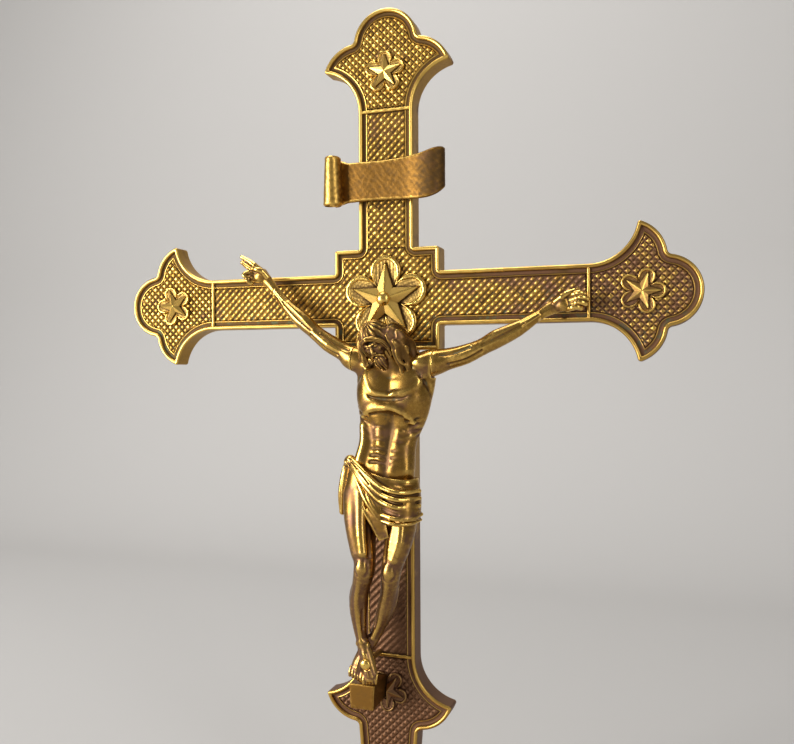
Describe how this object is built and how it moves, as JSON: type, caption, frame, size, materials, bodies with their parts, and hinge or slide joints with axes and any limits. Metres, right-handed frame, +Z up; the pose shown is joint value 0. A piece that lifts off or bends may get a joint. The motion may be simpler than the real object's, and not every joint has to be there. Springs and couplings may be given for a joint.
{
  "type": "standing altar crucifix",
  "caption": "Standing brass altar crucifix: trefoil-ended cross with knurled front, petalled rosettes, blank scroll, footrest and cast figure on a hollow stepped base.",
  "frame": {"origin": "on the table, under the middle of the base, at the underside of the felt", "axes": "+Z up the upright of the cross, -Y out of the front where the figure is, +X to the viewer's right along the arms"},
  "size_m": [0.2, 0.064, 0.2922],
  "materials": {
    "cross_brass": "gilt, aged, dark in the recesses",
    "bright_brass": "gilt, polished on the high edges",
    "scroll_brass": "orange-brown, satin",
    "figure_brass": "polished highlights, brown recesses",
    "tarnished_brass": "tarnished purple-brown",
    "felt": "plain wool felt"
  },
  "bodies": {
    "root": {"cross_casting": "cross_brass", "rosette_centre": "bright_brass", "rosette_rivet": "bright_brass", "rosette_top": "bright_brass", "rosette_left": "bright_brass", "rosette_right": "tarnished_brass", "rosette_foot": "tarnished_brass", "titulus_scroll": "scroll_brass", "titulus_pin_left": "tarnished_brass", "titulus_pin_right": "tarnished_brass", "corpus_body": "figure_brass", "corpus_arm_left": "figure_brass", "corpus_arm_right": "figure_brass", "shoulder_dowel_left": "tarnished_brass", "shoulder_dowel_right": "tarnished_brass", "wrist_dowel_left": "tarnished_brass", "hand_dowel_right": "tarnished_brass", "foot_nail": "bright_brass", "corpus_stud": "tarnished_brass", "corpus_washer": "tarnished_brass", "corpus_nut": "tarnished_brass", "footrest": "figure_brass", "footrest_screw": "tarnished_brass", "base_casting": "cross_brass", "base_stud": "tarnished_brass", "base_washer": "tarnished_brass", "base_nut": "tarnished_brass", "felt_pad": "felt"}
  },
  "joints": []
}
